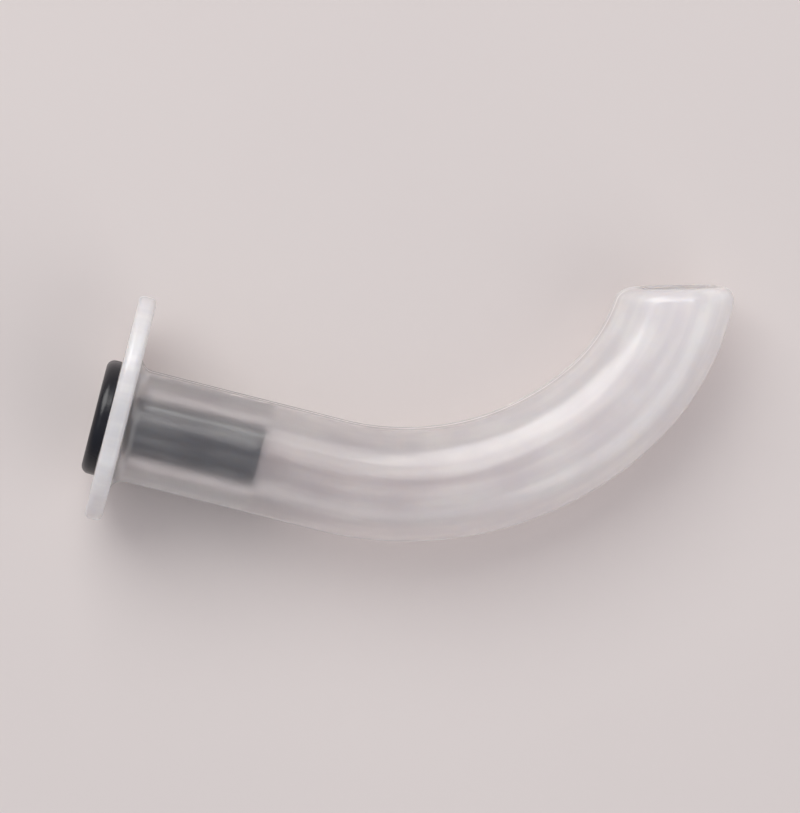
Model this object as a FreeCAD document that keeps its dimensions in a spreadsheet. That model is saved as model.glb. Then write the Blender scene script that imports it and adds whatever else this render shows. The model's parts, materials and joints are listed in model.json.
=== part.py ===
import FreeCAD, Part
import math
import os

import Sketcher

# Oropharyngeal airway of the tubular pattern, size 0, in millimetres.
# It is two pieces. The body is one moulding: a flange, a straight bite portion and a tube that
# bends gently and then tighter, up to a bevelled tip. The bite block is a harder sleeve with an
# oval collar, pushed into the body's socket through the flange.
#
# Both are drawn in one frame. The straight portion runs along +X and starts at x = 0, on the side
# of the flange that faces the lips. The tube bends towards +Y, and Z runs from side to side.
# A section's height lies along Y and its width along Z. The placement at the end lays the airway
# down on its side, the way it comes to rest on a table.

SIZES = (
    ("passage_height", 5.0, "air passage of the bite block, in the plane of the bend"),
    ("passage_width", 6.8, "the same passage, from side to side"),
    ("passage_round", 2.0, "its corner radius"),
    ("sleeve_wall", 0.75, "wall of the bite block's sleeve"),
    ("fit_clearance", 0.05, "gap all round between the sleeve and its socket"),
    ("seat_step", 0.5, "shoulder where the socket steps down to the tube's lumen"),
    ("end_gap", 0.3, "gap between the sleeve's end and that shoulder"),
    ("tube_wall", 2.6, "wall of the body round its lumen"),
    ("tube_round", 4.2, "outer corner radius of the tube's section"),
    ("bite_length", 20.3, "straight portion, from the flange to the first bend"),
    ("sleeve_setback", 7.1, "distance the sleeve stays short of the first bend"),
    ("first_radius", 29.8, "first bend, over the tongue, at the tube's centre line"),
    ("first_angle", 54.5, "how far the first bend turns, in degrees"),
    ("last_radius", 21.0, "last bend, down the throat, at the tube's centre line"),
    ("last_angle", 39.0, "how far the last bend turns, in degrees"),
    ("tip_bevel", 12.3, "slant of the tip's face, in degrees, the outer side of the bend longer"),
    ("tip_outer_round", 1.4, "rounding of the tip outside"),
    ("tip_inner_round", 0.7, "rounding of the tip round the lumen"),
    ("flange_inner_reach", 6.9, "flange beyond the tube, on the side it bends towards"),
    ("flange_outer_reach", 4.4, "flange beyond the tube, on the side it bends away from"),
    ("flange_side_reach", 2.2, "flange beyond the tube, at each side"),
    ("flange_round", 8.0, "corner radius of the flange's outline"),
    ("flange_thick", 1.8, "flange"),
    ("flange_edge_round", 0.6, "rounding of the flange's rim"),
    ("root_round", 1.2, "fillet where the tube leaves the flange"),
    ("collar_reach", 2.3, "collar beyond the sleeve, all round"),
    ("collar_thick", 1.4, "collar"),
    ("collar_edge_round", 0.8, "rounding of the collar's rim"),
    ("mouth_round", 0.6, "rounding of the passage's mouth in the collar"),
    ("lead_in", 0.35, "chamfer that leads the sleeve into its socket"),
)

# A corner radius takes at most this share of its outline's shorter side.
CORNER_SHARE = 0.47
# A rounding takes at most this share of what it is cut from: the flange's bare face beside the
# tube, the flange's thickness, the tube's wall from outside and from inside, the collar's
# thickness and the sleeve's wall.
FACE_SHARE = 0.9
RIM_SHARE = 0.45
TIP_OUTER_SHARE = 0.6
TIP_INNER_SHARE = 0.3
COLLAR_SHARE = 0.9
SLEEVE_SHARE = 0.6

# How near a point has to lie to a plane to count as on it.
ON_PLANE = 0.01
# The search for the resting pose: steps back from the tip, then halvings of the step found.
SEARCH_STEPS = 90
HALVINGS = 40

SIDEWAYS = FreeCAD.Vector(0, 1, 0)
UP = FreeCAD.Vector(0, 0, 1)

doc = FreeCAD.newDocument("oropharyngeal_airway")


def limited(corner, height, width):
    """Corner radius that never takes up a whole side of its outline."""
    return f"min({corner}; {CORNER_SHARE} * {height}; {CORNER_SHARE} * {width})"


def offset(outline, reach):
    """The outline that runs at an even distance from another one, with its corners to match."""
    height, width, corner = outline
    return f"({height} + 2 * {reach})", f"({width} + 2 * {reach})", f"({corner} + {reach})"


def framed(outline, extra_height, extra_width, corner):
    """An outline larger than another one, with a corner radius of its own."""
    height = f"({outline[0]} + {extra_height})"
    width = f"({outline[1]} + {extra_width})"
    return height, width, limited(corner, height, width)


# Outlines from the passage outwards, each as height, width and corner radius.
PASSAGE = (
    "sizes.passage_height",
    "sizes.passage_width",
    limited("sizes.passage_round", "sizes.passage_height", "sizes.passage_width"),
)
SLEEVE = offset(PASSAGE, "sizes.sleeve_wall")
COLLAR = offset(SLEEVE, "sizes.collar_reach")
SOCKET = offset(SLEEVE, "sizes.fit_clearance")
LUMEN = offset(SOCKET, "(0 - sizes.seat_step)")
TUBE = framed(LUMEN, "2 * sizes.tube_wall", "2 * sizes.tube_wall", "sizes.tube_round")
FLANGE = framed(
    TUBE,
    "sizes.flange_inner_reach + sizes.flange_outer_reach",
    "2 * sizes.flange_side_reach",
    "sizes.flange_round",
)

# Middle of the flange, which reaches further on the side that the tube bends towards.
FLANGE_MIDDLE = "((sizes.flange_inner_reach - sizes.flange_outer_reach) / 2)"

# Lengths along the straight portion, from x = 0.
SLEEVE_END = "(sizes.bite_length - sizes.sleeve_setback)"
SHOULDER = f"({SLEEVE_END} + sizes.end_gap)"
COLLAR_FACE = "(sizes.flange_thick + sizes.collar_thick)"

# Centre line: where the last bend has its centre and where it starts, and where the tip ends it.
FIRST_TURN = "(sizes.first_angle * 1 deg)"
FULL_TURN = "((sizes.first_angle + sizes.last_angle) * 1 deg)"
LAST_CENTRE = (
    f"(sizes.bite_length + (sizes.first_radius - sizes.last_radius) * sin{FIRST_TURN})",
    f"(sizes.first_radius - (sizes.first_radius - sizes.last_radius) * cos{FIRST_TURN})",
)
LAST_START = (
    f"(sizes.bite_length + sizes.first_radius * sin{FIRST_TURN})",
    f"(sizes.first_radius - sizes.first_radius * cos{FIRST_TURN})",
)
TIP = (
    f"({LAST_CENTRE[0]} + sizes.last_radius * sin{FULL_TURN})",
    f"({LAST_CENTRE[1]} - sizes.last_radius * cos{FULL_TURN})",
)
TIP_SLANT = "(sizes.first_angle + sizes.last_angle + sizes.tip_bevel - 90)"

# Each bend: name, start of its centre line, how far the tube has turned there, radius, sweep.
# The last one is made longer than it ends up, so that the slanted face has tube to cut.
BENDS = (
    ("FirstBend", "sizes.bite_length", "0", "0", "sizes.first_radius", "sizes.first_angle"),
    (
        "LastBend", *LAST_START, "sizes.first_angle", "sizes.last_radius",
        "sizes.last_angle + sizes.tip_bevel",
    ),
)


def fill_sheet():
    """The driving sizes, one row each: name, value, meaning."""
    sheet = doc.addObject("Spreadsheet::Sheet", "sizes")
    for row, (alias, value, meaning) in enumerate(SIZES, start=1):
        sheet.set(f"A{row}", alias)
        sheet.set(f"B{row}", str(value))
        sheet.setAlias(f"B{row}", alias)
        sheet.set(f"C{row}", meaning)
    doc.recompute()


def value_of(item, expression):
    """Number that an expression gives in the document."""
    return float(item.evalExpression(expression))


def new_sketch(body, name, role):
    """Sketch on one of the body's own origin planes."""
    sketch = body.newObject("Sketcher::SketchObject", name)
    plane = next(item for item in body.Origin.OriginFeatures if item.Role == role)
    sketch.AttachmentSupport = (plane, "")
    sketch.MapMode = "FlatFace"
    return sketch


def bind(sketch, name, constraint, expression):
    """Add a constraint with a name and tie it to an expression."""
    index = sketch.addConstraint(constraint)
    sketch.renameConstraint(index, name)
    sketch.setExpression(f"Constraints.{name}", expression)


def add_outline(sketch, outline):
    """Rectangle with round corners, centred on the sketch's origin."""
    height, width, corner = (value_of(sketch, part) for part in outline)
    sides = []
    corners = []
    for quarter in range(4):
        spin = FreeCAD.Rotation(UP, 90 * quarter)
        reach, across = (width, height) if quarter % 2 == 0 else (height, width)
        straight = across / 2 - corner
        start = spin.multVec(FreeCAD.Vector(-straight, -reach / 2, 0))
        end = spin.multVec(FreeCAD.Vector(straight, -reach / 2, 0))
        centre = spin.multVec(FreeCAD.Vector(straight, corner - reach / 2, 0))
        first = math.radians(90 * quarter - 90)
        arc = Part.ArcOfCircle(Part.Circle(centre, UP, corner), first, first + math.pi / 2)
        sides.append(sketch.addGeometry(Part.LineSegment(start, end), False))
        corners.append(sketch.addGeometry(arc, False))
    for quarter in range(4):
        side, bow, following = sides[quarter], corners[quarter], sides[(quarter + 1) % 4]
        sketch.addConstraint(Sketcher.Constraint("Tangent", side, 2, bow, 1))
        sketch.addConstraint(Sketcher.Constraint("Tangent", bow, 2, following, 1))
        sketch.addConstraint(Sketcher.Constraint(("Horizontal", "Vertical")[quarter % 2], side))
    for other in corners[1:]:
        sketch.addConstraint(Sketcher.Constraint("Equal", corners[0], other))
    sketch.addConstraint(Sketcher.Constraint("Symmetric", corners[0], 3, corners[2], 3, -1, 1))
    tall = Sketcher.Constraint("DistanceX", sides[3], 1, sides[1], 1, height)
    wide = Sketcher.Constraint("DistanceY", sides[0], 1, sides[2], 1, width)
    bind(sketch, "height", tall, outline[0])
    bind(sketch, "width", wide, outline[1])
    bind(sketch, "corner", Sketcher.Constraint("Radius", corners[0], corner), outline[2])


def add_bend_axis(sketch, radius):
    """Construction line from side to side, through the centre that the tube bends about."""
    away = value_of(sketch, radius)
    length = value_of(sketch, TUBE[1])
    start = FreeCAD.Vector(away, -length / 2, 0)
    end = FreeCAD.Vector(away, length / 2, 0)
    axis = sketch.addGeometry(Part.LineSegment(start, end), True)
    sketch.addConstraint(Sketcher.Constraint("Symmetric", axis, 1, axis, 2, -1))
    spacing = Sketcher.Constraint("DistanceX", -1, 1, axis, 1, away)
    across = Sketcher.Constraint("DistanceY", axis, 1, axis, 2, length)
    bind(sketch, "axis_distance", spacing, radius)
    bind(sketch, "axis_length", across, TUBE[1])


def section_sketch(body, name, outline, x="0", y="0", turn="0"):
    """Cross-section at a point of the centre line, turned to face along it."""
    sketch = new_sketch(body, name, "YZ_Plane")
    sketch.AttachmentOffset = FreeCAD.Placement(
        FreeCAD.Vector(value_of(sketch, y), 0, value_of(sketch, x)),
        FreeCAD.Rotation(SIDEWAYS, value_of(sketch, turn)),
    )
    sketch.setExpression("AttachmentOffset.Base.z", x)
    sketch.setExpression("AttachmentOffset.Base.x", y)
    if turn != "0":
        sketch.setExpression("AttachmentOffset.Rotation.Angle", turn)
    add_outline(sketch, outline)
    return sketch


def extrude(body, kind, name, sketch, length, towards_tip):
    """Pad or Pocket along X, towards the tip or away from it."""
    feature = body.newObject(f"PartDesign::{kind}", name)
    feature.Profile = sketch
    feature.setExpression("Length", length)
    feature.Reversed = towards_tip if kind == "Pocket" else not towards_tip
    sketch.Visibility = False


def sweep_bends(body, kind, outline, purpose):
    """Revolution or Groove of one outline round each bend in turn."""
    for name, x, y, turn, radius, sweep in BENDS:
        sketch = section_sketch(body, f"{purpose}{name}Section", outline, x, y, turn)
        add_bend_axis(sketch, radius)
        feature = body.newObject(f"PartDesign::{kind}", f"{purpose}{name}")
        feature.Profile = sketch
        feature.ReferenceAxis = (sketch, ["Axis0"])
        feature.setExpression("Angle", sweep)
        sketch.Visibility = False


def edges_where(feature, holds):
    """Names of the edges whose ends and middle all pass a test."""
    names = []
    for number, edge in enumerate(feature.Shape.Edges, start=1):
        middle = edge.valueAt((edge.FirstParameter + edge.LastParameter) / 2)
        points = [vertex.Point for vertex in edge.Vertexes] + [middle]
        if all(holds(point) for point in points):
            names.append(f"Edge{number}")
    if not names:
        raise RuntimeError(f"no edge found on {feature.Label}")
    return names


def dress(body, kind, name, size, holds):
    """Fillet or Chamfer on the edges of the solid so far that pass a test."""
    doc.recompute()
    base = body.Tip
    feature = body.newObject(f"PartDesign::{kind}", name)
    feature.Base = (base, edges_where(base, holds))
    feature.setExpression("Radius" if kind == "Fillet" else "Size", size)


def within(item, outline, spare=ON_PLANE):
    """Test for points inside an outline's height and width, or beyond it by no more than a bit."""
    half_height = value_of(item, outline[0]) / 2 + spare
    half_width = value_of(item, outline[1]) / 2 + spare
    return lambda point: abs(point.y) <= half_height and abs(point.z) <= half_width


def tip_frame(item):
    """Frame of the tip's slanted face: X towards the outer side of the bend, Y out of the face."""
    centre = FreeCAD.Vector(value_of(item, TIP[0]), value_of(item, TIP[1]), 0)
    return FreeCAD.Placement(centre, FreeCAD.Rotation(UP, value_of(item, TIP_SLANT)))


def cut_tip(body):
    """Take off the end of the bend with a slanted block, larger than what is left over."""
    sketch = new_sketch(body, "TipCutProfile", "XY_Plane")
    sketch.AttachmentOffset = tip_frame(body)
    sketch.setExpression("AttachmentOffset.Base.x", TIP[0])
    sketch.setExpression("AttachmentOffset.Base.y", TIP[1])
    sketch.setExpression("AttachmentOffset.Rotation.Angle", TIP_SLANT)
    breadth = f"(2 * {TUBE[0]})"
    depth = f"({TUBE[0]} + 2 * sizes.last_radius * sin(sizes.tip_bevel * 1 deg))"
    wide, deep = value_of(sketch, breadth), value_of(sketch, depth)
    corners = [
        FreeCAD.Vector(-wide / 2, 0, 0),
        FreeCAD.Vector(wide / 2, 0, 0),
        FreeCAD.Vector(wide / 2, deep, 0),
        FreeCAD.Vector(-wide / 2, deep, 0),
    ]
    lines = []
    for start, end in zip(corners, corners[1:] + corners[:1]):
        lines.append(sketch.addGeometry(Part.LineSegment(start, end), False))
    for number, (line, following) in enumerate(zip(lines, lines[1:] + lines[:1])):
        sketch.addConstraint(Sketcher.Constraint("Coincident", line, 2, following, 1))
        sketch.addConstraint(Sketcher.Constraint(("Horizontal", "Vertical")[number % 2], line))
    face, side = lines[0], lines[1]
    sketch.addConstraint(Sketcher.Constraint("Symmetric", face, 1, face, 2, -1, 1))
    bind(sketch, "breadth", Sketcher.Constraint("DistanceX", face, 1, face, 2, wide), breadth)
    bind(sketch, "depth", Sketcher.Constraint("DistanceY", side, 1, side, 2, deep), depth)
    cut = body.newObject("PartDesign::Pocket", "TipCut")
    cut.Profile = sketch
    cut.Type = "ThroughAll"
    cut.SideType = "Symmetric"
    sketch.Visibility = False


def round_flange(body):
    """Fillet at the tube's root, then the rounded rim on both faces of the flange."""
    in_tube = within(body, TUBE)
    free_face = "(sizes.flange_side_reach - sizes.flange_edge_round)"
    dress(
        body, "Fillet", "RootFillet", f"min(sizes.root_round; {FACE_SHARE} * {free_face})",
        lambda point: abs(point.x) < ON_PLANE and in_tube(point),
    )
    thick = value_of(body, "sizes.flange_thick")
    near_tube = within(body, TUBE, spare=FACE_SHARE * value_of(body, "sizes.flange_side_reach"))

    def on_rim(point):
        on_a_face = min(abs(point.x), abs(point.x + thick)) < ON_PLANE
        return on_a_face and not near_tube(point)

    size = f"min(sizes.flange_edge_round; {RIM_SHARE} * sizes.flange_thick)"
    dress(body, "Fillet", "FlangeRim", size, on_rim)


def round_tip(body):
    """Soft edges of the slanted face, large outside and small round the lumen."""
    place = tip_frame(body).inverse()
    slope = math.cos(math.radians(value_of(body, "sizes.tip_bevel")))
    half_wall = value_of(body, "sizes.tube_wall") / 2
    reach = value_of(body, LUMEN[0]) / 2 / slope + half_wall
    side = value_of(body, LUMEN[1]) / 2 + half_wall

    def on_face(point):
        return abs(place.multVec(point).y) < ON_PLANE

    def near_lumen(point):
        return abs(place.multVec(point).x) <= reach and abs(point.z) <= side

    dress(
        body, "Fillet", "TipOutside",
        f"min(sizes.tip_outer_round; {TIP_OUTER_SHARE} * sizes.tube_wall)",
        lambda point: on_face(point) and not near_lumen(point),
    )
    dress(
        body, "Fillet", "TipInside",
        f"min(sizes.tip_inner_round; {TIP_INNER_SHARE} * sizes.tube_wall)",
        lambda point: on_face(point) and near_lumen(point),
    )


def make_airway_body():
    """Flange, straight portion and bends in one moulding, with the lumen and the socket."""
    body = doc.addObject("PartDesign::Body", "AirwayBody")
    body.Label = "airway_body"
    flange = section_sketch(body, "FlangeOutline", FLANGE, y=FLANGE_MIDDLE)
    extrude(body, "Pad", "Flange", flange, "sizes.flange_thick", towards_tip=False)
    tube = section_sketch(body, "BiteSection", TUBE)
    extrude(body, "Pad", "BitePortion", tube, "sizes.bite_length", towards_tip=True)
    sweep_bends(body, "Revolution", TUBE, "Tube")
    cut_tip(body)

    lumen = section_sketch(body, "LumenSection", LUMEN, x="sizes.bite_length")
    through = "sizes.bite_length + sizes.flange_thick"
    extrude(body, "Pocket", "Lumen", lumen, through, towards_tip=False)
    sweep_bends(body, "Groove", LUMEN, "Lumen")
    socket = section_sketch(body, "SocketSection", SOCKET, x="-sizes.flange_thick")
    depth = f"{SHOULDER} + sizes.flange_thick"
    extrude(body, "Pocket", "Socket", socket, depth, towards_tip=True)

    round_flange(body)
    round_tip(body)
    return body


def make_bite_block():
    """Sleeve with an oval collar that seats on the outer face of the flange."""
    body = doc.addObject("PartDesign::Body", "BiteBlock")
    body.Label = "bite_block"
    collar = section_sketch(body, "CollarOutline", COLLAR, x="-sizes.flange_thick")
    extrude(body, "Pad", "Collar", collar, "sizes.collar_thick", towards_tip=False)
    sleeve = section_sketch(body, "SleeveOutline", SLEEVE, x="-sizes.flange_thick")
    sleeve_length = f"{SLEEVE_END} + sizes.flange_thick"
    extrude(body, "Pad", "Sleeve", sleeve, sleeve_length, towards_tip=True)
    passage = section_sketch(body, "PassageSection", PASSAGE, x=f"-{COLLAR_FACE}")
    passage_length = f"{SLEEVE_END} + {COLLAR_FACE}"
    extrude(body, "Pocket", "Passage", passage, passage_length, towards_tip=True)

    face = -value_of(body, COLLAR_FACE)
    end = value_of(body, SLEEVE_END)
    in_passage = within(body, PASSAGE)
    in_sleeve = within(body, SLEEVE)
    dress(
        body, "Fillet", "CollarRim",
        f"min(sizes.collar_edge_round; {COLLAR_SHARE} * sizes.collar_thick)",
        lambda point: abs(point.x - face) < ON_PLANE and not in_sleeve(point),
    )
    dress(
        body, "Fillet", "Mouth", f"min(sizes.mouth_round; {COLLAR_SHARE} * sizes.collar_thick)",
        lambda point: abs(point.x - face) < ON_PLANE and in_passage(point),
    )
    dress(
        body, "Chamfer", "LeadIn", f"min(sizes.lead_in; {SLEEVE_SHARE} * sizes.sleeve_wall)",
        lambda point: abs(point.x - end) < ON_PLANE and not in_passage(point),
    )
    return body


def centre_of_mass(bodies):
    """Common centre of the solids."""
    total = sum(body.Shape.Volume for body in bodies)
    weighted = FreeCAD.Vector(0, 0, 0)
    for body in bodies:
        weighted = weighted + body.Shape.Solids[0].CenterOfMass * body.Shape.Volume
    return weighted / total


def resting_plane(item, mass):
    """Normal of the plane that the airway lies on, on its side.

    The plane passes through the low corner of the flange's rim and runs along the tube's flat side
    at one point of the bends. The search for that point goes back from the tip: the rim's corner,
    the centre of mass and the point then lie in one line, seen square to the plane.
    """
    flange_height, flange_width, flange_corner = (value_of(item, part) for part in FLANGE)
    tube_height, tube_width, tube_corner = (value_of(item, part) for part in TUBE)
    rim = FreeCAD.Vector(
        -value_of(item, "sizes.flange_edge_round"),
        value_of(item, FLANGE_MIDDLE) + flange_corner - flange_height / 2,
        -flange_width / 2,
    )
    first_centre = ("sizes.bite_length", "sizes.first_radius")
    first = [value_of(item, size) for size in (*first_centre, "sizes.first_radius")]
    last = [value_of(item, size) for size in (*LAST_CENTRE, "sizes.last_radius")]
    last_starts = math.radians(value_of(item, "sizes.first_angle"))

    def plane_at(turn):
        x, y, radius = first if turn <= last_starts else last
        reach = radius + tube_height / 2 - tube_corner
        along = FreeCAD.Vector(math.cos(turn), math.sin(turn), 0)
        touch = FreeCAD.Vector(x + reach * along.y, y - reach * along.x, -tube_width / 2)
        span = touch - rim
        normal = span.cross(along).normalize()
        return normal, (mass - rim).dot(normal.cross(span))

    tip = math.radians(value_of(item, "sizes.first_angle + sizes.last_angle"))
    step = tip / SEARCH_STEPS
    high = tip
    while high > step and plane_at(high - step)[1] * plane_at(tip)[1] > 0:
        high -= step
    low = high - step
    for _ in range(HALVINGS):
        middle = (low + high) / 2
        if plane_at(middle)[1] * plane_at(tip)[1] > 0:
            high = middle
        else:
            low = middle
    print("touches where the tube has turned", round(math.degrees(low), 1), "degrees")
    normal = plane_at(low)[0]
    return normal if normal.z > 0 else normal * -1


def resting_placement(bodies):
    """Lay the airway down, with the middle of its outer box above the origin."""
    normal = resting_plane(bodies[0], centre_of_mass(bodies))
    print("leans", round(math.degrees(normal.getAngle(UP)), 2), "degrees")
    turned = FreeCAD.Placement(FreeCAD.Vector(0, 0, 0), FreeCAD.Rotation(normal, UP))
    shapes = [body.Shape.transformed(turned.toMatrix(), True) for body in bodies]
    box = Part.makeCompound(shapes).optimalBoundingBox(False, False)
    base = FreeCAD.Vector(-(box.XMin + box.XMax) / 2, -(box.YMin + box.YMax) / 2, -box.ZMin)
    return FreeCAD.Placement(base, turned.Rotation)


def check_document(bodies):
    """Stop if a feature failed, a cut took nothing away or a solid isn't sound."""
    for item in doc.Objects:
        if "Invalid" in item.State or "Error" in item.State:
            raise RuntimeError(f"{item.Label} failed: {item.State}")
        if item.TypeId in ("PartDesign::Pocket", "PartDesign::Groove"):
            if item.Shape.Volume > item.BaseFeature.Shape.Volume - ON_PLANE:
                raise RuntimeError(f"{item.Label} cut nothing")
    for body in bodies:
        shape = body.Shape
        if shape.isNull() or not shape.isValid() or len(shape.Solids) != 1:
            raise RuntimeError(f"{body.Label} isn't one sound solid")


fill_sheet()
parts = [make_airway_body(), make_bite_block()]
doc.recompute()
check_document(parts)
rest = resting_placement(parts)
for part in parts:
    part.Placement = rest
doc.recompute()
check_document(parts)

os.makedirs("parts", exist_ok=True)
for part in parts:
    part.Shape.exportStep(f"parts/{part.Label}.step")
    print(part.Label, round(part.Shape.Volume, 1), "mm3")
print("placement", rest)
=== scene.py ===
import json
import math

import bpy
from mathutils import Matrix, Vector


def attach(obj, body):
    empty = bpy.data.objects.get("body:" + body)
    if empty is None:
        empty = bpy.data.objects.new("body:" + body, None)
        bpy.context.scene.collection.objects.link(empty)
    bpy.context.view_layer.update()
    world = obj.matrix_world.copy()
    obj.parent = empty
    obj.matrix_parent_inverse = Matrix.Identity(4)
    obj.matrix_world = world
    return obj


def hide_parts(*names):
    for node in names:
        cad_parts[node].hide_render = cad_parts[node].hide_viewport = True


# An oropharyngeal airway of the tubular pattern, size 0, lying on its side: a milky body that is
# moulded in one piece, and a black bite block pushed into it through the flange.
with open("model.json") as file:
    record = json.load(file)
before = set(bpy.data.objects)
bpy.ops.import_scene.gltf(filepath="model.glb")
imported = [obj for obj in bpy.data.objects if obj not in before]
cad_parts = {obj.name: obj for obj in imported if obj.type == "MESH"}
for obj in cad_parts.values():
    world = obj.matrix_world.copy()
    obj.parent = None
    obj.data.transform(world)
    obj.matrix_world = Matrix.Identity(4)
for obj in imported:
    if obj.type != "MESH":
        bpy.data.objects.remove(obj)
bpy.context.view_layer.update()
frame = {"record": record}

MM = 0.001

# Sizes in millimetres, angles in degrees. An outline is height, width and corner radius: the
# height lies in the plane of the bend, and the width runs from side to side.
PASSAGE = (5.0, 6.8, 2.0)
SLEEVE_WALL = 0.75
FIT_CLEARANCE = 0.05
SEAT_STEP = 0.5
END_GAP = 0.3
TUBE_WALL = 2.6
TUBE_ROUND = 4.2
BITE_LENGTH = 20.3
SLEEVE_SETBACK = 7.1
FIRST_RADIUS = 29.8
FIRST_ANGLE = 54.5
LAST_RADIUS = 21.0
LAST_ANGLE = 39.0
TIP_BEVEL = 12.3
TIP_OUTER_ROUND = 1.4
TIP_INNER_ROUND = 0.7
FLANGE_INNER_REACH = 6.9
FLANGE_OUTER_REACH = 4.4
FLANGE_SIDE_REACH = 2.2
FLANGE_ROUND = 7.99
FLANGE_THICK = 1.8
FLANGE_EDGE_ROUND = 0.6
ROOT_ROUND = 1.2
COLLAR_REACH = 2.3
COLLAR_THICK = 1.4
COLLAR_EDGE_ROUND = 0.8
MOUTH_ROUND = 0.6
LEAD_IN = 0.35

# Edges that look sharp are broken by this much. The collar seats this far off the flange, so that
# light finds its way between the two skins. Points closer than the merge distance become one.
EDGE_BREAK = 0.12
SEAT_GAP = 0.02
MERGE_DISTANCE = 0.0012

# The tip's slant is taken up over this length of tube.
SLANT_RUN = 9.0

# Spacing of the rings along the tube, outside and inside, then the steps round a rounded edge,
# across a face, and on each side and each corner of a ring.
OUTER_SPACING = 0.6
INNER_SPACING = 0.8
EDGE_STEPS = 6
FACE_STEPS = 6
SIDE_STEPS = 12

# How much a ring's points crowd towards the middle of each side, where the mould's halves met.
CROWDING = 1.8
# The fine line that they left there, then how far the skins dip and swell, over what length, and
# the seed of each.
FLASH_HEIGHT = 0.05
FLASH_WIDTH = 0.16
BODY_RIPPLE = 0.04
BLOCK_RIPPLE = 0.015
RIPPLE_LENGTH = 7.0
BODY_SEED = 2.0
BLOCK_SEED = 5.0

# How milky the plastic looks at the flange's rim and at the tip, where it is seen along a wall.
RIM_HAZE = 1.0
TIP_HAZE = 0.9

# Surface patterns: faint clouds and flow streaks in the milky plastic, and the satin grain of both
# plastics, drawn about three times as coarse as it really is, so that it shows.
CLOUD_SIZE = 5.0
STREAK_LENGTH = 16.0
STREAK_WIDTH = 1.0
GRAIN_SIZE = 0.3
GRAIN_DEPTH = 0.03
FLOOR_GRAIN = 0.8
FLOOR_CLOUD = 60.0
# What a pattern's values mostly lie between, and what the product of two patterns does.
USUAL_VALUES = (0.3, 0.7)
USUAL_PRODUCTS = (0.12, 0.40)
# Share of the grain's tilt that shows on the milky plastic, on the black one and on the floor.
MILKY_GRAIN = 0.04
BLACK_GRAIN = 0.35
BOARD_GRAIN = 0.2

# Share of light that passes the milky plastic's skin where it is clearest and whitest, and how
# much of the way between them the clouds take it.
CLEAREST = 0.975
CLOUDIEST = 0.30
CLOUD_HAZE = 0.1
# Roughness of its outside where the streaks are smoothest and roughest, and the share of that
# which the lumen has. The share is reached gradually, between these distances from the lip face
# and from the tip. Then how deep light scatters in it, and the black plastic's roughness.
SKIN_ROUGHNESS = (0.32, 0.40)
LUMEN_SHARE = 0.65
POLISH_FROM_LIP_FACE = (0.5, 2.5)
POLISH_FROM_TIP = (5.0, 12.0)
SCATTER_DEPTH = 2.5
BLACK_ROUGHNESS = (0.26, 0.38)

# The picture: how far the camera is above the surface, how the airway is turned in it, how much
# of the floor it takes in, and the middle of that.
CAMERA_HEIGHT = 450.0
CAMERA_ROLL = 14.4
VIEW_WIDTH = 80.0
VIEW_MIDDLE = (0.0, -0.6)
SENSOR_WIDTH = 36.0
NEAR_CLIP = 10.0
HALF_FLOOR = 1000.0

# Name, place, side and power of each lamp, in metres and watts, then the colour of both. The
# surroundings fade from the first colour at the horizon to the second, which is reached where a
# direction's upward part is this large.
LAMPS = (("key", (-0.38, 0.48, 0.80), 0.8, 8.8), ("fill", (0.65, -0.25, 0.65), 0.7, 2.1))
LAMP_COLOUR = (1.0, 0.985, 0.96)
HORIZON = "B9B1AE"
OVERHEAD = "888B96"
FADE_END = 0.7

# Sockets whose names repeat: those of Map Range in order, and those of a colour Mix by number.
RANGE = ("Value", "From Min", "From Max", "To Min", "To Max")
SHARE, FIRST, SECOND, MIXED = 0, 6, 7, 2


def linear(code):
    """Linear colour of an sRGB hex code."""
    channels = [int(code[place:place + 2], 16) / 255 for place in (0, 2, 4)]
    shades = [c / 12.92 if c <= 0.04045 else ((c + 0.055) / 1.055) ** 2.4 for c in channels]
    return (*shades, 1.0)


def add(tree, kind, inputs=None, **settings):
    """Add a node with its settings. Inputs, by name or number, are a value, a node or a socket."""
    node = tree.nodes.new(kind)
    for name, value in settings.items():
        setattr(node, name, value)
    for name, value in (inputs or {}).items():
        if isinstance(value, bpy.types.Node):
            value = next(output for output in value.outputs if output.enabled)
        if isinstance(value, bpy.types.NodeSocket):
            tree.links.new(value, node.inputs[name])
        else:
            node.inputs[name].default_value = value
    return node


# Outlines from the passage outwards, and places along the tube

def grown(outline, reach):
    """The outline at an even distance outside another one."""
    height, width, corner = outline
    return height + 2 * reach, width + 2 * reach, corner + reach


SLEEVE = grown(PASSAGE, SLEEVE_WALL)
COLLAR = grown(SLEEVE, COLLAR_REACH)
SOCKET = grown(SLEEVE, FIT_CLEARANCE)
LUMEN = grown(SOCKET, -SEAT_STEP)
TUBE = (LUMEN[0] + 2 * TUBE_WALL, LUMEN[1] + 2 * TUBE_WALL, TUBE_ROUND)
FLANGE = (
    TUBE[0] + FLANGE_INNER_REACH + FLANGE_OUTER_REACH,
    TUBE[1] + 2 * FLANGE_SIDE_REACH,
    FLANGE_ROUND,
)
FLANGE_SHIFT = (FLANGE_INNER_REACH - FLANGE_OUTER_REACH) / 2
SLEEVE_END = BITE_LENGTH - SLEEVE_SETBACK
SHOULDER = SLEEVE_END + END_GAP
COLLAR_FACE = -FLANGE_THICK - COLLAR_THICK
FIRST_LENGTH = FIRST_RADIUS * math.radians(FIRST_ANGLE)
TIP = BITE_LENGTH + FIRST_LENGTH + LAST_RADIUS * math.radians(LAST_ANGLE)


# Rings of the two mouldings

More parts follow.
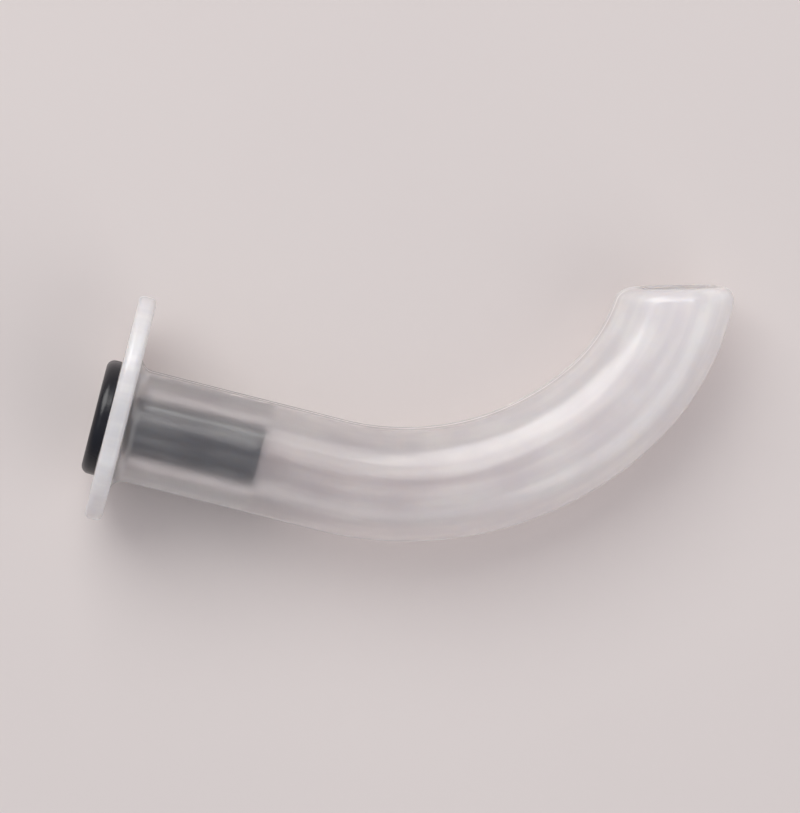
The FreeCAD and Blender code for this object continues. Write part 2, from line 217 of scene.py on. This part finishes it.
def ring(along, outline, shift=0.0, skin=1.0, haze=0.0):
    """One ring of a moulding, in metres: its half sizes, and what else the tree reads of it."""
    height, width, corner = outline
    return {
        "half": Vector((height / 2, width / 2, 0)) * MM,
        "corner": corner * MM,
        "along": along * MM,
        "shift": shift * MM,
        "skin": skin,
        "haze": haze,
    }


def edge(outline, middle, radius, first, last, **extra):
    """Rings round an edge: an arc whose middle is a place along the tube and a reach, which is
    how far it lies outside the outline."""
    along, reach = middle
    rings = []
    for step in range(EDGE_STEPS + 1):
        turn = math.radians(first + (last - first) * step / EDGE_STEPS)
        here = grown(outline, reach + radius * math.sin(turn))
        rings.append(ring(along + radius * math.cos(turn), here, **extra))
    return rings


def joined(*runs):
    """All rings of a moulding: those of each run, and more across the gap to the next run."""
    rings = []
    for (edges, spacing), (following, _) in zip(runs, runs[1:] + runs[:1]):
        rings += edges
        start, end = edges[-1], following[0]
        length = abs(end["along"] - start["along"]) / MM
        steps = max(FACE_STEPS, round(length / spacing))
        for step in range(1, steps):
            share = step / steps
            rings.append({name: start[name] * (1 - share) + end[name] * share for name in start})
    for item in rings:
        run = (item["along"] / MM - TIP + SLANT_RUN) / (SLANT_RUN - TIP_OUTER_ROUND)
        item["slant"] = min(max(run, 0.0), 1.0)
    return rings


def body_rings():
    """The body's wall in section, from the socket's mouth outwards, to the tip and back inside."""
    rim, root, nick = FLANGE_EDGE_ROUND, ROOT_ROUND, EDGE_BREAK
    outer, inner = TIP_OUTER_ROUND, TIP_INNER_ROUND
    offset = {"shift": FLANGE_SHIFT, "haze": RIM_HAZE}
    inside = {"skin": 0.0}
    return joined(
        (edge(SOCKET, (nick - FLANGE_THICK, nick), nick, 270, 180, **inside), OUTER_SPACING),
        (edge(FLANGE, (rim - FLANGE_THICK, -rim), rim, 180, 90, **offset), OUTER_SPACING),
        (edge(FLANGE, (-rim, -rim), rim, 90, 0, **offset), OUTER_SPACING),
        (edge(TUBE, (root, root), root, 180, 270), OUTER_SPACING),
        (edge(TUBE, (TIP - outer, -outer), outer, 90, 0, haze=TIP_HAZE), OUTER_SPACING),
        (edge(LUMEN, (TIP - inner, inner), inner, 0, -90, haze=TIP_HAZE, **inside), INNER_SPACING),
        (edge(LUMEN, (SHOULDER + nick, nick), nick, 270, 180, **inside), INNER_SPACING),
        (edge(SOCKET, (SHOULDER - nick, -nick), nick, 0, 90, **inside), INNER_SPACING),
    )


def block_rings():
    """The bite block's wall in section, from the passage's mouth outwards and back inside."""
    rim, mouth, nick = COLLAR_EDGE_ROUND, MOUTH_ROUND, EDGE_BREAK / 2
    seat = -FLANGE_THICK - SEAT_GAP
    inside = {"skin": 0.0}
    chamfer = [ring(SLEEVE_END - LEAD_IN, SLEEVE), ring(SLEEVE_END, grown(SLEEVE, -LEAD_IN))]
    return joined(
        (edge(PASSAGE, (COLLAR_FACE + mouth, mouth), mouth, 270, 180, **inside), OUTER_SPACING),
        (edge(COLLAR, (COLLAR_FACE + rim, -rim), rim, 180, 90), OUTER_SPACING),
        (edge(COLLAR, (seat - nick, -nick), nick, 90, 0), OUTER_SPACING),
        (edge(SLEEVE, (seat + nick, nick), nick, 180, 270), OUTER_SPACING),
        (chamfer, OUTER_SPACING),
        (edge(PASSAGE, (SLEEVE_END - nick, nick), nick, 0, -90, **inside), OUTER_SPACING),
    )


def outline_points():
    """Points of any rounded outline, each as a share of the straight sides and a way round."""
    points = []
    corners = [Vector((1, -1, 0)), Vector((1, 1, 0)), Vector((-1, 1, 0)), Vector((-1, -1, 0))]
    for quarter, start in enumerate(corners):
        end = corners[(quarter + 1) % 4]
        side_way = Matrix.Rotation(math.radians(90 * quarter), 3, "Z") @ Vector((1, 0, 0))
        for step in range(SIDE_STEPS):
            share = 2 * step / SIDE_STEPS - 1
            crowded = math.copysign(abs(share) ** CROWDING, share)
            points.append({"core": start.lerp(end, (crowded + 1) / 2), "bow": side_way})
        for step in range(SIDE_STEPS):
            turn = math.radians(90 * (quarter + step / SIDE_STEPS))
            points.append({"core": end, "bow": Vector((math.cos(turn), math.sin(turn), 0))})
    return points


def table_mesh(name, rows):
    """Loose points that carry a table: one point for each row, one attribute for each column."""
    mesh = bpy.data.meshes.new(name)
    mesh.vertices.add(len(rows))
    for column, first in rows[0].items():
        kind = "FLOAT_VECTOR" if isinstance(first, Vector) else "FLOAT"
        attribute = mesh.attributes.new(column, kind, "POINT")
        for item, row in zip(attribute.data, rows):
            if kind == "FLOAT":
                item.value = row[column]
            else:
                item.vector = row[column]
    item = bpy.data.objects.new(name, mesh)
    bpy.context.scene.collection.objects.link(item)
    return item


# The tree that turns a table of rings into a moulding

def sampled(tree, geometry, index, columns):
    """What each column of a table says at a row."""
    values = {}
    for name, kind in columns.items():
        column = add(tree, "GeometryNodeInputNamedAttribute", {"Name": name}, data_type=kind)
        inputs = {"Geometry": geometry, "Value": column, "Index": index}
        values[name] = add(tree, "GeometryNodeSampleIndex", inputs, data_type=kind)
    return values


def ring_point(tree, here, around, sizes):
    """A point of a ring in the ring's own plane: its distance towards the bend, and sideways."""
    inputs = {0: here["half"], 1: here["corner"]}
    flat = add(tree, "ShaderNodeVectorMath", inputs, operation="SUBTRACT")
    inputs = {0: around["core"], 1: flat}
    straight = add(tree, "ShaderNodeVectorMath", inputs, operation="MULTIPLY")
    inputs = {0: around["bow"], 1: here["corner"], 2: straight}
    point = add(tree, "ShaderNodeVectorMath", inputs, operation="MULTIPLY_ADD")
    place = add(tree, "ShaderNodeSeparateXYZ", {0: point})
    outwards = add(tree, "ShaderNodeSeparateXYZ", {0: around["bow"]})

    inputs = {0: here["skin"], 1: sizes["Flash Height"]}
    height = add(tree, "ShaderNodeMath", inputs, operation="MULTIPLY")
    off_middle = add(tree, "ShaderNodeMath", {0: place.outputs["Y"]}, operation="ABSOLUTE")
    inputs = dict(zip(RANGE, (off_middle, 0.0, sizes["Flash Width"], height, 0.0)))
    flash = add(tree, "ShaderNodeMapRange", inputs)
    inputs = {0: flash, 1: outwards.outputs["X"], 2: place.outputs["X"]}
    lifted = add(tree, "ShaderNodeMath", inputs, operation="MULTIPLY_ADD")
    inputs = {0: lifted, 1: here["shift"]}
    return add(tree, "ShaderNodeMath", inputs, operation="ADD"), place.outputs["Y"]


def bent_point(tree, along, across, slant, sizes):
    """Where the straight portion and the two bends take a point: along it, and towards the bend."""
    inputs = {0: along, 1: sizes["Bite Length"]}
    before = add(tree, "ShaderNodeMath", inputs, operation="MINIMUM")
    beyond = add(tree, "ShaderNodeMath", {0: along, 1: before}, operation="SUBTRACT")
    inputs = {0: beyond, 1: sizes["First Radius"]}
    whole_turn = add(tree, "ShaderNodeMath", inputs, operation="DIVIDE")
    inputs = {0: whole_turn, 1: sizes["First Angle"]}
    first = add(tree, "ShaderNodeMath", inputs, operation="MINIMUM")
    spare = add(tree, "ShaderNodeMath", {0: whole_turn, 1: first}, operation="SUBTRACT")
    inputs = {0: spare, 1: sizes["First Radius"]}
    spare_length = add(tree, "ShaderNodeMath", inputs, operation="MULTIPLY")
    inputs = {0: spare_length, 1: sizes["Last Radius"]}
    last = add(tree, "ShaderNodeMath", inputs, operation="DIVIDE")

    # The slanted face stands off the square one by an angle that depends on the point's radius.
    inputs = {0: sizes["Last Radius"], 1: across}
    radius = add(tree, "ShaderNodeMath", inputs, operation="SUBTRACT")
    sine = add(tree, "ShaderNodeMath", {0: sizes["Tip Bevel"]}, operation="SINE")
    inputs = {0: sine, 1: sizes["Last Radius"]}
    offset = add(tree, "ShaderNodeMath", inputs, operation="MULTIPLY")
    ratio = add(tree, "ShaderNodeMath", {0: offset, 1: radius}, operation="DIVIDE")
    lean = add(tree, "ShaderNodeMath", {0: ratio}, operation="ARCSINE")
    inputs = {0: sizes["Tip Bevel"], 1: lean}
    ahead = add(tree, "ShaderNodeMath", inputs, operation="SUBTRACT")
    turned = add(tree, "ShaderNodeMath", {0: first, 1: last}, operation="ADD")
    inputs = {0: ahead, 1: slant, 2: turned}
    turn = add(tree, "ShaderNodeMath", inputs, operation="MULTIPLY_ADD")

    inputs = {0: sizes["First Radius"], 1: sizes["Last Radius"]}
    step = add(tree, "ShaderNodeMath", inputs, operation="SUBTRACT")
    places = []
    for wave, start in (("SINE", before), ("COSINE", sizes["First Radius"])):
        way = 1.0 if wave == "SINE" else -1.0
        first_wave = add(tree, "ShaderNodeMath", {0: first}, operation=wave)
        turn_wave = add(tree, "ShaderNodeMath", {0: turn}, operation=wave)
        near = add(tree, "ShaderNodeMath", {0: step, 1: first_wave}, operation="MULTIPLY")
        inputs = {0: radius, 1: turn_wave, 2: near}
        far = add(tree, "ShaderNodeMath", inputs, operation="MULTIPLY_ADD")
        inputs = {0: far, 1: way, 2: start}
        places.append(add(tree, "ShaderNodeMath", inputs, operation="MULTIPLY_ADD"))
    return places


def moulding_tree():
    """Skin over a table of rings, bent as the tube is, with flash line and ripple."""
    tree = bpy.data.node_groups.new("moulding_from_rings", "GeometryNodeTree")
    sockets = (
        ("Rings", "INPUT", "NodeSocketGeometry"),
        ("Outline", "INPUT", "NodeSocketObject"),
        ("Bite Length", "INPUT", "NodeSocketFloat"),
        ("First Radius", "INPUT", "NodeSocketFloat"),
        ("First Angle", "INPUT", "NodeSocketFloat"),
        ("Last Radius", "INPUT", "NodeSocketFloat"),
        ("Tip Bevel", "INPUT", "NodeSocketFloat"),
        ("Flash Height", "INPUT", "NodeSocketFloat"),
        ("Flash Width", "INPUT", "NodeSocketFloat"),
        ("Ripple Depth", "INPUT", "NodeSocketFloat"),
        ("Ripple Length", "INPUT", "NodeSocketFloat"),
        ("Ripple Seed", "INPUT", "NodeSocketFloat"),
        ("Place", "INPUT", "NodeSocketVector"),
        ("Turn", "INPUT", "NodeSocketVector"),
        ("Material", "INPUT", "NodeSocketMaterial"),
        ("Moulding", "OUTPUT", "NodeSocketGeometry"),
    )
    for name, way, kind in sockets:
        tree.interface.new_socket(name, in_out=way, socket_type=kind)
    sizes = add(tree, "NodeGroupInput").outputs
    outline = add(tree, "GeometryNodeObjectInfo", {"Object": sizes["Outline"]}).outputs["Geometry"]

    # A grid with one row more than there are rings, and one column more than there are points
    # round a ring: the last of each lies on the first and is merged with it.
    counts = []
    for geometry in (sizes["Rings"], outline):
        count = add(tree, "GeometryNodeAttributeDomainSize", {0: geometry}, component="MESH")
        counts.append((count, add(tree, "FunctionNodeIntegerMath", {0: count, 1: 1})))
    (ring_count, rows), (point_count, columns) = counts
    grid = add(tree, "GeometryNodeMeshGrid", {"Vertices X": rows, "Vertices Y": columns})
    index = add(tree, "GeometryNodeInputIndex")
    inputs = {0: index, 1: columns}
    row = add(tree, "FunctionNodeIntegerMath", inputs, operation="DIVIDE_FLOOR")
    column = add(tree, "FunctionNodeIntegerMath", inputs, operation="FLOORED_MODULO")
    inputs = {0: row, 1: ring_count}
    row = add(tree, "FunctionNodeIntegerMath", inputs, operation="FLOORED_MODULO")
    inputs = {0: column, 1: point_count}
    column = add(tree, "FunctionNodeIntegerMath", inputs, operation="FLOORED_MODULO")

    numbers = ("corner", "along", "shift", "slant", "skin", "haze")
    ring_columns = {"half": "FLOAT_VECTOR", **{name: "FLOAT" for name in numbers}}
    here = sampled(tree, sizes["Rings"], row, ring_columns)
    around = sampled(tree, outline, column, {"core": "FLOAT_VECTOR", "bow": "FLOAT_VECTOR"})
    across, sideways = ring_point(tree, here, around, sizes)
    forward, bendward = bent_point(tree, here["along"], across, here["slant"], sizes)
    unbent = add(tree, "ShaderNodeCombineXYZ", {0: here["along"], 1: across, 2: sideways})
    position = add(tree, "ShaderNodeCombineXYZ", {0: forward, 1: bendward, 2: sideways})

    # The materials read where each point was before the tube was bent, and what its ring says.
    kept = grid.outputs["Mesh"]
    facts = (
        ("unbent", unbent, "FLOAT_VECTOR"),
        ("skin", here["skin"], "FLOAT"),
        ("haze", here["haze"], "FLOAT"),
    )
    for name, value, kind in facts:
        inputs = {"Geometry": kept, "Name": name, "Value": value}
        kept = add(tree, "GeometryNodeStoreNamedAttribute", inputs, data_type=kind)
    shaped = add(tree, "GeometryNodeSetPosition", {"Geometry": kept, "Position": position})
    inputs = {"Geometry": shaped, "Distance": MERGE_DISTANCE * MM}
    closed = add(tree, "GeometryNodeMergeByDistance", inputs)
    outward = add(tree, "GeometryNodeFlipFaces", {0: closed})

    skin = add(tree, "GeometryNodeInputNamedAttribute", {"Name": "skin"}, data_type="FLOAT")
    inputs = {"Name": "unbent"}
    before = add(tree, "GeometryNodeInputNamedAttribute", inputs, data_type="FLOAT_VECTOR")
    scale = add(tree, "ShaderNodeMath", {0: 1.0, 1: sizes["Ripple Length"]}, operation="DIVIDE")
    inputs = {"Vector": before, "W": sizes["Ripple Seed"], "Scale": scale, "Detail": 1.0}
    waves = add(tree, "ShaderNodeTexNoise", inputs, noise_dimensions="4D")
    inputs = {0: waves.outputs[0], 1: skin}
    dip = add(tree, "ShaderNodeMath", inputs, operation="MULTIPLY")
    inputs = {0: dip, 1: sizes["Ripple Depth"]}
    depth = add(tree, "ShaderNodeMath", inputs, operation="MULTIPLY")
    inwards = add(tree, "ShaderNodeMath", {0: depth, 1: -1.0}, operation="MULTIPLY")
    normal = add(tree, "GeometryNodeInputNormal")
    inputs = {0: normal, "Scale": inwards}
    offset = add(tree, "ShaderNodeVectorMath", inputs, operation="SCALE")
    rippled = add(tree, "GeometryNodeSetPosition", {"Geometry": outward, "Offset": offset})

    inputs = {"Geometry": rippled, "Translation": sizes["Place"], "Rotation": sizes["Turn"]}
    placed = add(tree, "GeometryNodeTransform", inputs)
    smooth = add(tree, "GeometryNodeSetShadeSmooth", {"Geometry": placed, "Shade Smooth": True})
    real = add(tree, "GeometryNodeRealizeInstances", {"Geometry": smooth})
    inputs = {"Geometry": real, "Material": sizes["Material"]}
    finished = add(tree, "GeometryNodeSetMaterial", inputs)
    add(tree, "NodeGroupOutput", {0: finished})
    return tree


def lying_frame():
    """Place of the lip face's middle, and the turn that lays the airway down as the model lies."""
    mounts = {mount["name"]: mount for mount in frame["record"]["mounts"]}
    mouth = Vector(mounts["passage_mouth"]["pos_m"])
    along = -Vector(mounts["passage_mouth"]["axis"]).normalized()
    to_tip = Vector(mounts["tip_mouth"]["pos_m"]) - mouth
    bendward = (to_tip - along * to_tip.dot(along)).normalized()
    turn = Matrix((along, bendward, along.cross(bendward))).transposed()
    return mouth - along * COLLAR_FACE * MM, turn.to_euler()


def moulding(tree, name, rings, material, ripple, seed):
    """Run the tree on a table of rings and keep its result as a plain mesh."""
    piece = table_mesh(name, rings)
    outline = table_mesh("outline_points", outline_points())
    place, turn = lying_frame()
    values = {
        "Outline": outline,
        "Bite Length": BITE_LENGTH * MM,
        "First Radius": FIRST_RADIUS * MM,
        "First Angle": math.radians(FIRST_ANGLE),
        "Last Radius": LAST_RADIUS * MM,
        "Tip Bevel": math.radians(TIP_BEVEL),
        "Flash Height": FLASH_HEIGHT * MM,
        "Flash Width": FLASH_WIDTH * MM,
        "Ripple Depth": ripple * MM,
        "Ripple Length": RIPPLE_LENGTH * MM,
        "Ripple Seed": seed,
        "Place": place,
        "Turn": turn,
        "Material": material,
    }
    modifier = piece.modifiers.new("moulding", "NODES")
    modifier.node_group = tree
    for item in tree.interface.items_tree:
        if item.in_out == "INPUT" and item.name in values:
            modifier[item.identifier] = values[item.name]
    graph = bpy.context.evaluated_depsgraph_get()
    mesh = bpy.data.meshes.new_from_object(piece.evaluated_get(graph), depsgraph=graph)
    mesh.name = name
    piece.modifiers.clear()
    piece.data = mesh
    bpy.data.objects.remove(outline)
    return piece


# Materials

def blank_material(name):
    """A new material with an empty tree."""
    material = bpy.data.materials.new(name)
    material.use_nodes = True
    material.node_tree.nodes.clear()
    return material


def milky_polyethylene():
    """Low-density polyethylene, injection moulded: cloudy but thin enough in the wall that the
    black block behind it shows as a soft slate-grey shape. It turns whiter where it is seen along
    a wall, at the rim and the tip, and melt flow leaves faint streaks from the flange to the tip.
    The steel it was moulded against was smooth, so the skin is glossier than the cloudy plastic
    under it, and lamps draw soft bright streaks along the bends. A polished pin shaped the lumen,
    so that light is blurred less there and the lumen's edges can be made out."""
    material = blank_material("milky_polyethylene")
    tree = material.node_tree
    unbent = add(tree, "ShaderNodeAttribute", attribute_name="unbent").outputs["Vector"]
    haze = add(tree, "ShaderNodeAttribute", attribute_name="haze").outputs["Fac"]
    skin = add(tree, "ShaderNodeAttribute", attribute_name="skin").outputs["Fac"]

    inputs = {"Vector": unbent, "Scale": 1 / (CLOUD_SIZE * MM), "Detail": 3.0}
    clouds = add(tree, "ShaderNodeTexNoise", inputs)
    stretch = (1 / (STREAK_LENGTH * MM), 1 / (STREAK_WIDTH * MM), 1 / (STREAK_WIDTH * MM))
    inputs = {0: unbent, 1: stretch}
    drawn = add(tree, "ShaderNodeVectorMath", inputs, operation="MULTIPLY")
    inputs = {"Vector": drawn, "Scale": 1.0, "Detail": 2.0}
    streaks = add(tree, "ShaderNodeTexNoise", inputs)
    inputs = {0: clouds.outputs[0], 1: streaks.outputs[0]}
    product = add(tree, "ShaderNodeMath", inputs, operation="MULTIPLY")
    inputs = dict(zip(RANGE, (product, *USUAL_PRODUCTS, 0.0, 1.0)))
    cloudiness = add(tree, "ShaderNodeMapRange", inputs, interpolation_type="SMOOTHSTEP")

    inputs = {SHARE: cloudiness, FIRST: linear("EDEAEC"), SECOND: linear("F9F6F5")}
    tint = add(tree, "ShaderNodeMix", inputs, data_type="RGBA")

    # Whiteness is on the outside alone, so that light isn't held back a second time inside.
    edges = add(tree, "ShaderNodeMath", {0: haze, 1: haze}, operation="MULTIPLY")
    inputs = {0: cloudiness, 1: CLOUD_HAZE, 2: edges}
    clouded = add(tree, "ShaderNodeMath", inputs, operation="MULTIPLY_ADD")
    white = add(tree, "ShaderNodeMath", {0: clouded, 1: skin}, operation="MULTIPLY")
    inputs = dict(zip(RANGE, (white, 0.0, 1.0, CLEAREST, CLOUDIEST)))
    clearness = add(tree, "ShaderNodeMapRange", inputs)

    inputs = {"Vector": unbent, "Scale": 1 / (GRAIN_SIZE * MM), "Detail": 2.0}
    grain = add(tree, "ShaderNodeTexNoise", inputs)
    inputs = dict(zip(RANGE, (streaks.outputs[0], *USUAL_VALUES, *SKIN_ROUGHNESS)))
    outside = add(tree, "ShaderNodeMapRange", inputs)
    along = add(tree, "ShaderNodeSeparateXYZ", {0: unbent}).outputs["X"]
    polish = add(tree, "ShaderNodeMath", {0: 1.0, 1: skin}, operation="SUBTRACT")
    for rough, smooth in (POLISH_FROM_LIP_FACE, [TIP - distance for distance in POLISH_FROM_TIP]):
        inputs = dict(zip(RANGE, (along, rough * MM, smooth * MM, 0.0, 1.0)))
        reached = add(tree, "ShaderNodeMapRange", inputs, interpolation_type="SMOOTHSTEP")
        polish = add(tree, "ShaderNodeMath", {0: polish, 1: reached}, operation="MULTIPLY")
    inputs = dict(zip(RANGE, (polish, 0.0, 1.0, 1.0, LUMEN_SHARE)))
    share = add(tree, "ShaderNodeMapRange", inputs)
    roughness = add(tree, "ShaderNodeMath", {0: outside, 1: share}, operation="MULTIPLY")
    inputs = {"Height": grain.outputs[0], "Strength": MILKY_GRAIN, "Distance": GRAIN_DEPTH * MM}
    satin = add(tree, "ShaderNodeBump", inputs)

    inputs = {
        "Base Color": tint.outputs[MIXED],
        "Roughness": roughness,
        "IOR": 1.51,
        "Normal": satin,
        "Transmission Weight": clearness,
        "Subsurface Weight": 1.0,
        "Subsurface Radius": (1.0, 0.9, 0.8),
        "Subsurface Scale": SCATTER_DEPTH * MM,
        "Coat Weight": 0.6,
        "Coat Roughness": 0.14,
        "Coat IOR": 1.5,
    }
    shader = add(tree, "ShaderNodeBsdfPrincipled", inputs)

    # Lamps shine through the plastic, so that the floor and the block behind it are lit.
    path = add(tree, "ShaderNodeLightPath")
    lit = add(tree, "ShaderNodeBsdfTransparent", {"Color": linear("CECCCC")})
    inputs = {0: path.outputs["Is Shadow Ray"], 1: shader, 2: lit}
    mixed = add(tree, "ShaderNodeMixShader", inputs)
    add(tree, "ShaderNodeOutputMaterial", {"Surface": mixed})
    return material


def black_polypropylene():
    """Polypropylene coloured black through, injection moulded: near black, with a soft gloss that
    a fine spark-eroded grain breaks up."""
    material = blank_material("black_polypropylene")
    tree = material.node_tree
    unbent = add(tree, "ShaderNodeAttribute", attribute_name="unbent").outputs["Vector"]
    inputs = {"Vector": unbent, "Scale": 1 / (GRAIN_SIZE * MM), "Detail": 3.0}
    grain = add(tree, "ShaderNodeTexNoise", inputs)
    inputs = {"Vector": unbent, "Scale": 1 / (CLOUD_SIZE * MM), "Detail": 2.0}
    clouds = add(tree, "ShaderNodeTexNoise", inputs)
    inputs = {SHARE: clouds.outputs[0], FIRST: linear("121218"), SECOND: linear("1A1B22")}
    tint = add(tree, "ShaderNodeMix", inputs, data_type="RGBA")
    inputs = dict(zip(RANGE, (clouds.outputs[0], *USUAL_VALUES, *BLACK_ROUGHNESS)))
    roughness = add(tree, "ShaderNodeMapRange", inputs)
    inputs = {"Height": grain.outputs[0], "Strength": BLACK_GRAIN, "Distance": GRAIN_DEPTH * MM}
    satin = add(tree, "ShaderNodeBump", inputs)
    inputs = {
        "Base Color": tint.outputs[MIXED],
        "Roughness": roughness,
        "IOR": 1.49,
        "Normal": satin,
    }
    shader = add(tree, "ShaderNodeBsdfPrincipled", inputs)
    add(tree, "ShaderNodeOutputMaterial", {"Surface": shader})
    return material


def pale_floor():
    """Matt painted board: an even pale warm grey, with a hint of roller texture."""
    material = blank_material("pale_floor")
    tree = material.node_tree
    place = add(tree, "ShaderNodeTexCoord").outputs["Object"]
    inputs = {"Vector": place, "Scale": 1 / (FLOOR_GRAIN * MM), "Detail": 4.0}
    grain = add(tree, "ShaderNodeTexNoise", inputs)
    inputs = {"Vector": place, "Scale": 1 / (FLOOR_CLOUD * MM), "Detail": 2.0}
    clouds = add(tree, "ShaderNodeTexNoise", inputs)
    inputs = {SHARE: clouds.outputs[0], FIRST: linear("D4CCCA"), SECOND: linear("D9D1CE")}
    tint = add(tree, "ShaderNodeMix", inputs, data_type="RGBA")
    inputs = {"Height": grain.outputs[0], "Strength": BOARD_GRAIN, "Distance": GRAIN_DEPTH * MM}
    texture = add(tree, "ShaderNodeBump", inputs)
    inputs = {
        "Base Color": tint.outputs[MIXED],
        "Roughness": 0.85,
        "Specular IOR Level": 0.2,
        "Normal": texture,
    }
    shader = add(tree, "ShaderNodeBsdfPrincipled", inputs)
    add(tree, "ShaderNodeOutputMaterial", {"Surface": shader})
    return material


# Surroundings and lamps

def studio_world():
    """Even studio surroundings: pale and warm at the horizon, dimmer and cooler overhead."""
    world = bpy.data.worlds.new("studio")
    world.use_nodes = True
    tree = world.node_tree
    tree.nodes.clear()
    way = add(tree, "ShaderNodeTexCoord").outputs["Generated"]
    height = add(tree, "ShaderNodeSeparateXYZ", {0: way}).outputs["Z"]
    inputs = dict(zip(RANGE, (height, 0.0, FADE_END, 0.0, 1.0)))
    share = add(tree, "ShaderNodeMapRange", inputs, interpolation_type="SMOOTHSTEP")
    inputs = {SHARE: share, FIRST: linear(HORIZON), SECOND: linear(OVERHEAD)}
    colour = add(tree, "ShaderNodeMix", inputs, data_type="RGBA")
    inputs = {"Color": colour.outputs[MIXED], "Strength": 1.0}
    background = add(tree, "ShaderNodeBackground", inputs)
    add(tree, "ShaderNodeOutputWorld", {"Surface": background})
    bpy.context.scene.world = world


def softbox(name, place, side, power):
    """Square lamp that faces the airway, a shade warmer than the surroundings overhead."""
    lamp = bpy.data.lights.new(name, "AREA")
    lamp.color = LAMP_COLOUR
    lamp.shape = "SQUARE"
    lamp.size = side
    lamp.energy = power
    item = bpy.data.objects.new(name, lamp)
    item.location = place
    item.rotation_euler = (-Vector(place)).to_track_quat("-Z", "Y").to_euler()
    bpy.context.scene.collection.objects.link(item)


# The airway

tree = moulding_tree()

rings, material = body_rings(), milky_polyethylene()
body = moulding(tree, "airway_body_moulding", rings, material, BODY_RIPPLE, BODY_SEED)
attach(body, "root")
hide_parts("airway_body")

rings, material = block_rings(), black_polypropylene()
block = moulding(tree, "bite_block_moulding", rings, material, BLOCK_RIPPLE, BLOCK_SEED)
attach(block, "root")
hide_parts("bite_block")

# Floor, lights and camera

floor_mesh = bpy.data.meshes.new("floor")
half = HALF_FLOOR * MM
corners = [(-half, -half, 0), (half, -half, 0), (half, half, 0), (-half, half, 0)]
floor_mesh.from_pydata(corners, [], [(0, 1, 2, 3)])
floor_mesh.materials.append(pale_floor())
floor = bpy.data.objects.new("floor", floor_mesh)
bpy.context.scene.collection.objects.link(floor)

studio_world()
for lamp in LAMPS:
    softbox(*lamp)

camera_data = bpy.data.cameras.new("camera")
camera_data.sensor_width = SENSOR_WIDTH
camera_data.lens = SENSOR_WIDTH * CAMERA_HEIGHT / VIEW_WIDTH
camera_data.clip_start = NEAR_CLIP * MM
camera = bpy.data.objects.new("camera", camera_data)
camera.location = (VIEW_MIDDLE[0] * MM, VIEW_MIDDLE[1] * MM, CAMERA_HEIGHT * MM)
camera.rotation_euler = (0, 0, math.radians(CAMERA_ROLL))
bpy.context.scene.collection.objects.link(camera)
bpy.context.scene.camera = camera
bpy.context.scene.view_settings.view_transform = "Standard"
